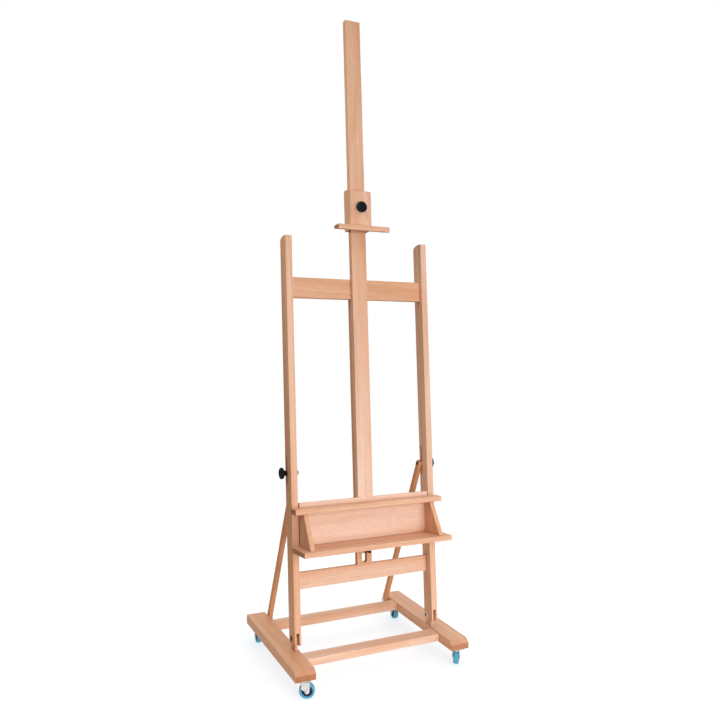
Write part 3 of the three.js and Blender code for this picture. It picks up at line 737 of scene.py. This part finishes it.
def fork_mesh():
    """Pressed fork in the stem's frame: flat round-nosed crown, legs narrowing to the axle."""
    half, wall, top, skirt, end, eye = FORK.values()
    trail, axle = WHEEL["trail"], WHEEL["axle"]
    upright = Matrix.Identity(4)
    side = Matrix(((1, 0, 0), (0, 0, -1), (0, 1, 0))).to_4x4()

    plan = arc(half, 90, 270, 25) + [(end, -half), (end, half)]
    gap = half - wall
    inside = [(-half - MM, -gap), (end + MM, -gap), (end + MM, gap), (-half - MM, gap)]
    profile = [(-half - MM, top), (-half - MM, skirt), (trail - eye * 0.97, axle + eye * 0.2)]
    profile += arc(eye, 180, 360, 21, (trail, axle)) + [(end, skirt + 6 * MM), (end, top)]
    stem_hole = arc(3.8 * MM, 0, 345, 24)
    axle_hole = arc(3.3 * MM, 0, 345, 24, (trail, axle))
    steps = [
        ("DIFFERENCE", prism(inside, axle - 2 * eye, top - wall, upright)),
        ("INTERSECT", prism(profile, -half - MM, half + MM, side)),
        ("DIFFERENCE", prism(stem_hole, top - 2 * wall, top + MM, upright)),
        ("DIFFERENCE", prism(axle_hole, -2 * half, 2 * half, side)),
    ]
    bm = combine(prism(plan, axle - 1.2 * eye, top, upright), steps)
    return ease_edges(bm, FORK_EASE, 2, 35)


def wheel_frame():
    """Stem frame to a frame whose Z is the axle, through the wheel's centre."""
    side = Matrix(((1, 0, 0), (0, 0, 1), (0, -1, 0))).to_4x4()
    return Matrix.Translation((WHEEL["trail"], 0, WHEEL["axle"])) @ side


def tyre_profile():
    radius, half, hub = WHEEL["radius"], WHEEL["half_width"], WHEEL["hub"]
    inner = hub + 0.25 * MM
    corner = 3.4 * MM
    crown = 0.35 * MM
    upper = arc(corner, 0, 90, 8, (radius - crown - corner, half - corner))
    lower = [(r, -h) for r, h in reversed(upper)]
    wall = [(inner + 1.2 * MM, half - 0.2 * MM), (inner + 0.3 * MM, half - 0.7 * MM)]
    wall += [(inner, half - 1.4 * MM)]
    return lower + [(radius, 0.0)] + upper + wall + [(r, -h) for r, h in reversed(wall)]


def hub_profile():
    """Hub with a boss at the bore, a thin web and a rim under the tyre."""
    half, hub = WHEEL["half_width"], WHEEL["hub"]
    bore, boss, rim_in = 3.2 * MM, 7 * MM, 13.6 * MM
    face, web = half - 1.5 * MM, 3 * MM
    side = [(bore, half + 0.7 * MM), (boss - 0.6 * MM, half + 0.7 * MM)]
    side += [(boss, half + 0.2 * MM), (boss + 0.5 * MM, web + 1 * MM), (boss + 1.6 * MM, web)]
    side += [(rim_in - 1.5 * MM, web), (rim_in - 0.4 * MM, web + 1 * MM)]
    side += [(rim_in, face - 0.5 * MM), (rim_in + 0.5 * MM, face)]
    side += [(hub - 0.5 * MM, face), (hub, face - 0.5 * MM)]
    return side + [(r, -h) for r, h in reversed(side)]


def axle_profile():
    """Axle bolt: domed head below, hexagon nut above."""
    face = FORK["half"] + 0.3 * MM
    shank, head = 3 * MM, 5 * MM
    nut = hex_profile(head * 0.86, face, face + AXLE_HEAD)[1:-1]
    dome = [(0.5 * MM, -face - AXLE_HEAD), (head * 0.6, -face - AXLE_HEAD * 0.92)]
    dome += [(head * 0.9, -face - AXLE_HEAD * 0.5), (head, -face)]
    return dome + [(shank, -face), (shank, face)] + nut


def plate_mesh(low, high):
    """Top plate with round corners, between the corners of its CAD box."""
    x, y = (high.x - low.x) / 2 - PLATE_CORNER, (high.y - low.y) / 2 - PLATE_CORNER
    outline = []
    for quarter, (u, v) in enumerate(CORNERS):
        outline += arc(PLATE_CORNER, 90 * quarter, 90 * quarter + 90, 7, (u * x, v * y))
    place = Matrix.Translation(((low.x + high.x) / 2, (low.y + high.y) / 2, 0))
    return ease_edges(prism(outline, high.z - PLATE_THICK, high.z, place), PLATE_EASE, 2, 35)


def race_profile(low, high):
    """Pressed ball raceway: two lips and the seam between them."""
    r = RACE_RADIUS
    seam = (low + high) / 2
    lower = [(3 * MM, low), (r - 2.2 * MM, low), (r - 1.2 * MM, low + 0.3 * MM)]
    lower += [(r - 0.5 * MM, low + 1.0 * MM), (r - 0.5 * MM, seam - 0.5 * MM)]
    middle = [(r - 1.3 * MM, seam - 0.2 * MM), (r - 1.3 * MM, seam + 0.2 * MM)]
    upper = [(r, seam + 0.6 * MM), (r, high - 0.8 * MM), (r - 0.6 * MM, high), (3 * MM, high)]
    return lower + middle + upper


def screw_profile(top):
    """Round screw head under the plate, drawn downwards from the plate's face."""
    head = SCREW_HEAD
    dome = [(head * 0.86, top - 1.2 * MM), (head * 0.55, top - 1.7 * MM)]
    return [(head, top), (head, top - 0.5 * MM)] + dome + [(head * 0.2, top - 1.8 * MM)]


def build_castor(place, fork_data):
    name = f"castor_{place}"
    steel = MATERIALS["zinc"]
    stem = Vector(JOINTS[f"{name}_turn"]["pos_m"])
    axle = Vector(JOINTS[f"{name}_roll"]["pos_m"])
    turn = math.atan2(axle.y - stem.y, axle.x - stem.x)
    local = Matrix.Translation((stem.x, stem.y, 0)) @ Matrix.Rotation(turn, 4, "Z")
    wheel = local @ wheel_frame()

    low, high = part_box(f"{name}_plate")
    under = high.z - PLATE_THICK
    bm = plate_mesh(low, high)
    shade_by_area(add_piece(f"{name}_plate_steel", bm, steel, "base", [f"{name}_plate"]))
    bm = turned(local, race_profile(FORK["top"] + 0.3 * MM, under), 64)
    smooth(add_piece(f"{name}_raceway", bm, steel, "base"), 35)
    bm = turned(local, KINGPIN, 32)
    smooth(add_piece(f"{name}_kingpin", bm, steel, "base"), 50)
    for i, (u, v) in enumerate(CORNERS, start=1):
        spot = Matrix.Translation((stem.x + u * SCREW_OUT[0], stem.y + v * SCREW_OUT[1], 0))
        bm = turned(spot, screw_profile(under), 24)
        smooth(add_piece(f"{name}_screw_{i}", bm, steel, "base"), 50)

    bm = bmesh.new()
    bm.from_mesh(fork_data)
    bmesh.ops.transform(bm, matrix=local, verts=bm.verts)
    body = f"{name}_swivel"
    shade_by_area(add_piece(f"{name}_fork_steel", bm, steel, body, [f"{name}_fork"]))
    hardware(f"{name}_axle_steel", wheel, axle_profile(), f"{name}_axle", "zinc", segments=36)
    hub, tyre = f"{name}_hub", f"{name}_tyre"
    hardware(f"{hub}_moulded", wheel, hub_profile(), hub, "dark_hub", True, 72)
    hardware(f"{tyre}_moulded", wheel, tyre_profile(), tyre, "blue_tyre", True, 112, 50)


def build_castors():
    bm = fork_mesh()
    data = bpy.data.meshes.new("fork")
    bm.to_mesh(data)
    bm.free()
    for place in CASTORS:
        build_castor(place, data)
    bpy.data.meshes.remove(data)


MATERIALS = {
    "black_plastic": black_plastic(),
    "zinc": zinc(),
    "black_steel": black_steel(),
    "dark_hub": hub_plastic(),
    "blue_tyre": tyre_rubber(),
}


# ---- Stage, light and camera --------------------------------------------------------

# The world's brightness at the sides, what is added overhead, the share left below, and
# the way to its bright backdrop.
WORLD_DIM = 0.26
OVERHEAD = 0.85
FROM_BELOW = 0.2
BACKDROP_WAY = (0.43, 0.90, 0.05)
KEY = {"place": (0.35, -3.35, 1.1), "target": (0, 0, 0.9), "size": (2.6, 2.2)}
KEY |= {"power": 87, "spread": 180, "color": (0.98, 1.0, 1.04)}
FILL = {"place": (-2.8, -0.1, 2.4), "target": (0, 0.1, 2.0), "size": (1.0, 1.0)}
FILL |= {"power": 3.2, "spread": 55, "color": (1.0, 0.9, 0.76)}

# Yaw, pitch and roll in degrees.
CAMERA_ANGLES = (25.701, -2.669, 0.945)
CAMERA_PLACE = (-1.1151, -2.3299, 1.1629)
CAMERA_LENS = 36.967


def build_stage():
    bm = bmesh.new()
    bmesh.ops.create_circle(bm, cap_ends=True, segments=96, radius=FLOOR_RADIUS)
    floor = object_from("studio_floor", bm)
    floor.data.materials.append(floor_material())


def area_light(name, place, target, size, power, spread, color):
    """Rectangular light at a place, aimed at a target; its spread is in degrees."""
    data = bpy.data.lights.new(name, "AREA")
    data.shape, data.size, data.size_y = "RECTANGLE", size[0], size[1]
    data.energy = power
    data.spread = math.radians(spread)
    data.color = color
    made = bpy.data.objects.new(name, data)
    made.location = place
    made.rotation_euler = (Vector(target) - Vector(place)).to_track_quat("-Z", "Y").to_euler()
    made.visible_camera = False
    bpy.context.scene.collection.objects.link(made)


def build_light():
    """White studio: bright backdrop behind, dim surround, large soft key from the front.

    The camera sees the world plain white; its light on the easel is shaped here.
    """
    world = bpy.data.worlds.new("studio")
    bpy.context.scene.world = world
    world.use_nodes = True
    world.node_tree.nodes.clear()
    g = Graph(world.node_tree)
    direction = g.node("ShaderNodeTexCoord").outputs["Generated"]
    behind = {0: direction, 1: BACKDROP_WAY}
    facing = g.node("ShaderNodeVectorMath", behind, operation="DOT_PRODUCT").outputs["Value"]
    height = g.node("ShaderNodeSeparateXYZ", {0: direction}).outputs["Z"]
    surround = g.span(facing, 0.6, 0.95, WORLD_DIM, 1.0)
    surround = g.math("ADD", surround, g.span(height, 0.3, 0.95, 0.0, OVERHEAD))
    surround = g.math("MULTIPLY", surround, g.span(height, -0.5, -0.05, FROM_BELOW, 1.0))
    tint = g.mix(g.span(height, 0.1, 0.6), rgba(1.0, 0.84, 0.66), rgba(0.98, 0.99, 1.0))
    lit = g.node("ShaderNodeBackground", {"Color": tint, "Strength": surround})
    seen = g.node("ShaderNodeBackground", {"Color": rgba(1, 1, 1), "Strength": 1.0})
    camera_ray = g.node("ShaderNodeLightPath").outputs["Is Camera Ray"]
    both = g.node("ShaderNodeMixShader", {0: camera_ray, 1: lit.outputs[0], 2: seen.outputs[0]})
    sink = g.node("ShaderNodeOutputWorld")
    g.tree.links.new(both.outputs[0], sink.inputs["Surface"])
    area_light("soft_key", **KEY)
    area_light("high_fill", **FILL)
    bpy.context.scene.view_settings.view_transform = "Standard"


def build_camera():
    """View from the front left, at the height of the uprights' middle, slightly down."""
    yaw, pitch, roll = (math.radians(angle) for angle in CAMERA_ANGLES)
    flat = math.cos(pitch)
    forward = Vector((math.sin(yaw) * flat, math.cos(yaw) * flat, math.sin(pitch)))
    level = Vector((math.cos(yaw), -math.sin(yaw), 0))
    upward = level.cross(forward)
    right = level * math.cos(roll) + upward * math.sin(roll)
    top = upward * math.cos(roll) - level * math.sin(roll)
    data = bpy.data.cameras.new("camera")
    data.sensor_width = 36
    data.lens = CAMERA_LENS
    data.clip_end = 200
    made = bpy.data.objects.new("camera", data)
    turn = Matrix((right, top, -forward)).transposed().to_4x4()
    made.matrix_world = Matrix.Translation(Vector(CAMERA_PLACE)) @ turn
    bpy.context.scene.collection.objects.link(made)
    bpy.context.scene.camera = made


build_wood()
build_knobs()
build_bolts()
build_lock()
build_castors()
build_stage()
build_light()
build_camera()
